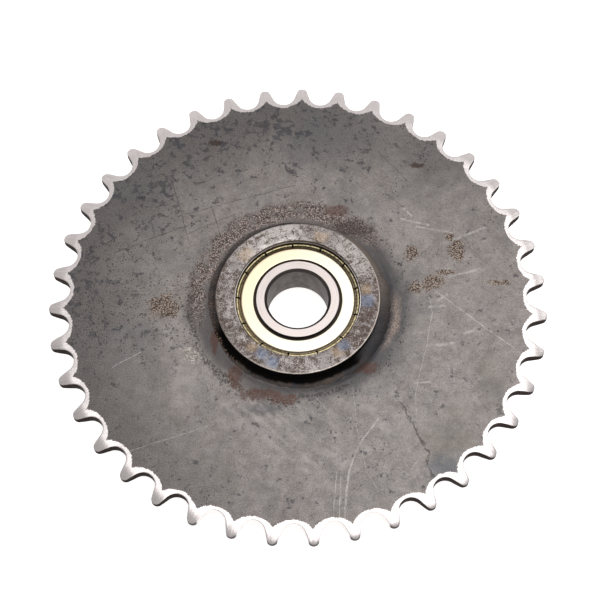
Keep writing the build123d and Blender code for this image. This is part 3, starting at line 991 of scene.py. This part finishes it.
def hub_rust(s, patch, wide, speck, bright):
    """1 where the hub's face has rusted: mottled, most of it at the lower left and the right."""
    fleck = s.noise(0.24, 2, 0.8)
    rust = s.add(s.times(patch, 0.32), s.times(speck, 0.26), s.times(fleck, 0.26), s.times(wide, 0.16))
    rust = s.add(rust, s.times(s.facing(-115, 110), 0.012), s.times(s.facing(-14, 46), 0.028))
    outer_left = s.times(s.facing(190, 45), s.ramp(s.radius, 23.0, 26.2), 0.022)
    rust = s.add(rust, s.times(bright, -0.01), outer_left, s.times(s.facing(-80, 22), -0.016))
    return s.ramp(rust, 0.468, 0.545)


def hub_face():
    """Turned steel, rusty and heat-tinted in front, with a painted highlight on its rounded front edge
    and its outer wall painted near black as shade.
    """
    s = Shader("hub_face")
    patch = s.noise(1.9, 6, 0.7, 0.5)
    wide = s.noise(8, 4, 0.6, 0.8)
    speck = s.noise(0.42, 3, 0.7)
    color = s.mix(s.ramp(wide, 0.38, 0.62), (0.285, 0.262, 0.255), (0.47, 0.43, 0.42))
    bright = s.most(s.facing(112, 34), s.times(s.facing(40, 26), 0.6))
    color = s.paint(color, (0.64, 0.595, 0.57), bright, 0.55)
    rust = hub_rust(s, patch, wide, speck, bright)
    color = s.paint(color, (0.088, 0.055, 0.041), rust, 0.88)
    color = tempered(s, color, STRAW_TINTS, (0.46, 0.33, 0.21), 0.42)
    color = tempered(s, color, BLUE_TINTS, (0.17, 0.22, 0.32), 0.55)
    edge = s.window(s.radius, HUB_RADIUS - 0.35, HUB_RADIUS + 0.1, 0.12)
    # Painted highlight: the rounded outer front edge is painted light round the lower side and the
    # right.
    edge_highlight = s.times(edge, s.ramp(s.z, 7.6, 7.8), s.facing(-50, 130))
    color = s.paint(color, (0.72, 0.64, 0.58), edge_highlight, 0.8)
    # Painted shade: the outer wall is painted near black at the front, fading to dark brown towards the
    # rear, with its metallic sheen taken away.
    wall = s.times(s.ramp(s.radius, HUB_RADIUS - 0.2, HUB_RADIUS - 0.05), s.ramp(s.z, 7.95, 7.6))
    wall_shade = s.mix(s.ramp(s.z, 6.0, -1.0), (0.004, 0.003, 0.003), (0.05, 0.038, 0.032))
    color = s.paint(color, wall_shade, wall)
    bore = s.ramp(s.radius, LIP_RADIUS + 0.2, LIP_RADIUS + 0.05)
    color = s.paint(color, (0.12, 0.10, 0.085), bore, 0.8)
    rough = s.add(s.ramp(rust, 0, 1, 0.36, 0.6), s.times(wall, 0.2))
    height = s.add(s.times(patch, 0.5), s.times(speck, 0.3), s.times(rust, -0.5))
    metallic = s.ramp(wall, 0, 1, 1.0, 0.0)
    specular = s.ramp(wall, 0, 1, 0.5, 0.08)
    return s.finish(color, rough, metallic, height, strength=0.4, depth=0.0001, specular=specular)


def ground_steel():
    """Hardened bearing steel, ground bright, with turning lines round the axis."""
    s = Shader("ground_steel")
    lines = s.noise(1.0, 3, 0.6, 0.0, s.polar(4.0, 1.2))
    color = s.mix(s.ramp(lines, 0.3, 0.7), (0.76, 0.695, 0.67), (0.86, 0.795, 0.77))
    stain = s.noise(1.6, 4, 0.65)
    color = s.paint(color, (0.35, 0.28, 0.25), s.ramp(stain, 0.6, 0.75, 0.0, 0.4))
    rough = s.ramp(lines, 0.3, 0.7, 0.26, 0.36)
    return s.finish(color, rough, 1.0, lines, strength=0.15, depth=0.00003)


def inner_ring_steel():
    """Ground end faces, with painted shade on the bore chamfer, on the dull bore with its pits and on
    the shoulders under the shields.
    """
    s = Shader("inner_ring_steel")
    lines = s.noise(1.0, 3, 0.6, 0.0, s.polar(4.0, 1.2))
    color = s.mix(s.ramp(lines, 0.3, 0.7), (0.56, 0.495, 0.475), (0.69, 0.62, 0.595))
    # Painted shade: the bore chamfer is painted nearly black.
    chamfer_shade = s.ramp(s.radius, BORE_CHAMFER_RADIUS + 0.15, BORE_CHAMFER_RADIUS)
    color = s.paint(color, (0.05, 0.042, 0.04), chamfer_shade, 0.93)
    # Painted shade: the dull bore is painted dark grey, with black pits.
    bore = s.ramp(s.radius, BORE_RADIUS + 0.12, BORE_RADIUS + 0.03)
    soft = s.noise(3.5, 4, 0.6)
    dull = s.mix(s.ramp(soft, 0.35, 0.65), (0.105, 0.09, 0.086), (0.17, 0.148, 0.142))
    dull = s.paint(dull, (0.02, 0.017, 0.016), s.dots(1.3, 0.2), 0.8)
    color = s.paint(color, dull, bore)
    # Painted shade: the shoulders under the shields are painted nearly black.
    shoulder_shade = s.ramp(s.radius, SHOULDER_RADIUS, SHOULDER_RADIUS + 0.1)
    color = s.paint(color, (0.03, 0.024, 0.02), shoulder_shade)
    rough = s.mix(bore, s.ramp(lines, 0.3, 0.7, 0.28, 0.38), 0.55)
    return s.finish(color, rough, s.ramp(bore, 0, 1, 1.0, 0.8), lines, strength=0.15, depth=0.00003)


def yellow_zinc():
    """Yellow-passivated zinc, with painted shade in the rolled valley, black notches and a dark hole
    edge.
    """
    s = Shader("yellow_zinc")
    cloud = s.noise(6, 4, 0.6, 0.5)
    tint = s.facing(150, 120)
    color = s.mix(s.ramp(cloud, 0.35, 0.65), (0.925, 0.84, 0.675), (0.955, 0.885, 0.75))
    color = s.paint(color, (0.90, 0.755, 0.53), tint, 0.8)
    # Painted shade: the rolled valley is painted dark brown, darker still on its outer side towards the
    # top.
    valley = s.ramp(s.radius, VALLEY_RADIUS, VALLEY_RADIUS + 0.25)
    valley = s.times(valley, s.ramp(s.noise(0.5, 3, 0.7), 0.3, 0.75, 1.0, 0.7))
    color = s.paint(color, (0.075, 0.05, 0.012), valley, 0.97)
    deep = s.ramp(s.radius, VALLEY_RADIUS + 0.2, VALLEY_RADIUS + 0.5)
    shade = s.times(valley, s.facing(95, 95), deep)
    color = s.paint(color, (0.018, 0.012, 0.005), shade, 0.8)
    rim = s.window(s.radius, 19.5, 20.0, 0.1)
    color = s.paint(color, (0.80, 0.69, 0.40), rim, s.ramp(s.noise(0.7, 2), 0.38, 0.55, 0.2, 0.95))
    turned = s.math("DIVIDE", s.minus(s.angle, FIRST_NOTCH_ANGLE), 2 * pi / NOTCHES)
    from_notch = s.math("ABSOLUTE", s.minus(turned, s.math("ROUND", turned)))
    past_valley = s.ramp(s.radius, VALLEY_RADIUS + 0.4, VALLEY_RADIUS + 0.6)
    notch = s.times(s.ramp(from_notch, 0.036, 0.028), past_valley)
    color = s.paint(color, (0.006, 0.005, 0.003), notch)
    color = s.paint(color, (0.02, 0.015, 0.006), s.ramp(s.radius, 20.02, 20.16))
    color = s.paint(color, (0.4, 0.3, 0.2), s.dots(1.7, 0.1), 0.4)
    hole = s.ramp(s.radius, SHIELD_HOLE_RADIUS + 0.13, SHIELD_HOLE_RADIUS + 0.05)
    color = s.paint(color, (0.08, 0.06, 0.03), hole, 0.8)
    return s.finish(color, s.ramp(cloud, 0.3, 0.7, 0.3, 0.38), 1.0, cloud, strength=0.1, depth=0.00005)


def black_spring():
    """Phosphated spring steel."""
    s = Shader("black_spring")
    fine = s.noise(0.6, 4, 0.6)
    color = s.mix(s.ramp(fine, 0.3, 0.7), (0.03, 0.03, 0.032), (0.07, 0.068, 0.066))
    return s.finish(color, s.ramp(fine, 0.3, 0.7, 0.35, 0.5), 0.6, fine, strength=0.2, depth=0.00005)


def give(material, *names):
    """Gives the material to CAD nodes that stay visible."""
    for name in names:
        data = NODES[name].data
        data.materials.clear()
        data.materials.append(material)


# ---- stage


def add_camera():
    tilt, roll = radians(CAMERA_TILT), radians(CAMERA_ROLL)
    forward = Vector((0, sin(tilt), -cos(tilt)))
    level_right = Vector((1, 0, 0))
    level_up = level_right.cross(forward)
    right = level_right * cos(roll) + level_up * sin(roll)
    up = level_up * cos(roll) - level_right * sin(roll)
    data = bpy.data.cameras.new("camera")
    data.lens = LENS
    data.sensor_width = SENSOR_WIDTH
    data.clip_start = 0.01
    data.clip_end = 20
    camera = add_object("camera", data)
    place = CAMERA_AIM - forward * CAMERA_DISTANCE
    axes = Matrix((right, up, -forward)).transposed().to_4x4()
    camera.matrix_world = Matrix.Translation(place) @ axes
    bpy.context.scene.camera = camera


def add_light(name, direction, distance, size, power):
    data = bpy.data.lights.new(name, "AREA")
    data.shape = "RECTANGLE"
    data.size, data.size_y = size
    data.energy = power
    light = add_object(name, data)
    light.location = Vector(direction).normalized() * distance
    light.rotation_mode = "QUATERNION"
    light.rotation_quaternion = (-Vector(direction)).to_track_quat("-Z", "Y")


def add_floor():
    half = FLOOR_HALF
    level = (HUB_LOW - FLOOR_GAP) * MM
    corners = [(-half, -half, level), (half, -half, level), (half, half, level), (-half, half, level)]
    mesh = bpy.data.meshes.new("floor")
    mesh.from_pydata(corners, [], [(0, 1, 2, 3)])
    s = Shader("pale_floor")
    s.set(s.surface.inputs["Base Color"], (0.8, 0.8, 0.8))
    s.set(s.surface.inputs["Roughness"], 0.9)
    s.set(s.surface.inputs["Emission Color"], (1.0, 1.0, 1.0))
    s.set(s.surface.inputs["Emission Strength"], 0.75)
    mesh.materials.append(s.material)
    add_object("floor", mesh)


def add_world():
    """Warm white surroundings, brighter towards the back."""
    world = bpy.data.worlds.new("studio")
    bpy.context.scene.world = world
    world.use_nodes = True
    nodes, links = world.node_tree.nodes, world.node_tree.links
    background = nodes["Background"]
    background.inputs["Color"].default_value = (1, 0.985, 0.975, 1)
    direction = nodes.new("ShaderNodeTexCoord")
    parts = nodes.new("ShaderNodeSeparateXYZ")
    dome = nodes.new("ShaderNodeMapRange")
    limits = {"From Min": 0.2, "From Max": 0.75, "To Min": 0.5, "To Max": 0.86}
    for name, value in limits.items():
        dome.inputs[name].default_value = value
    links.new(direction.outputs["Generated"], parts.inputs[0])
    links.new(parts.outputs["Y"], dome.inputs["Value"])
    links.new(dome.outputs[0], background.inputs["Strength"])


def add_stage():
    add_camera()
    add_floor()
    add_light("overhead", (0.17, 0.05, 0.97), distance=0.75, size=(0.70, 0.60), power=2.02)
    add_light("key", (0.72, 0.42, 0.62), distance=0.8, size=(0.3, 0.3), power=0.25)
    add_world()
    bpy.context.scene.view_settings.view_transform = "Standard"


steel = ground_steel()
add_plate(mill_scale(), cut_wall())
weld = weld_oxide()
add_weld(
    "front_weld", "front_weld_bead", PLATE_HIGH, 1,
    FRONT_WELD_LEGS, FRONT_WELD_RISES, FRONT_WELD_SEED, weld,
)
add_weld(
    "rear_weld", "rear_weld_bead", PLATE_LOW, -1,
    REAR_WELD_LEGS, REAR_WELD_RISES, REAR_WELD_SEED, weld,
)
zinc = yellow_zinc()
add_shield("front_shield_sheet", "front_shield", 1, zinc)
add_shield("rear_shield_sheet", "rear_shield", -1, zinc)
add_hub(hub_face())
give(inner_ring_steel(), "bearing_inner_ring")
give(steel, "bearing_outer_ring", "cage_front_half", "cage_rear_half", "cage_rivets")
give(steel, *[name for name in NODES if name.startswith("ball_")])
give(black_spring(), "retaining_ring")
add_stage()
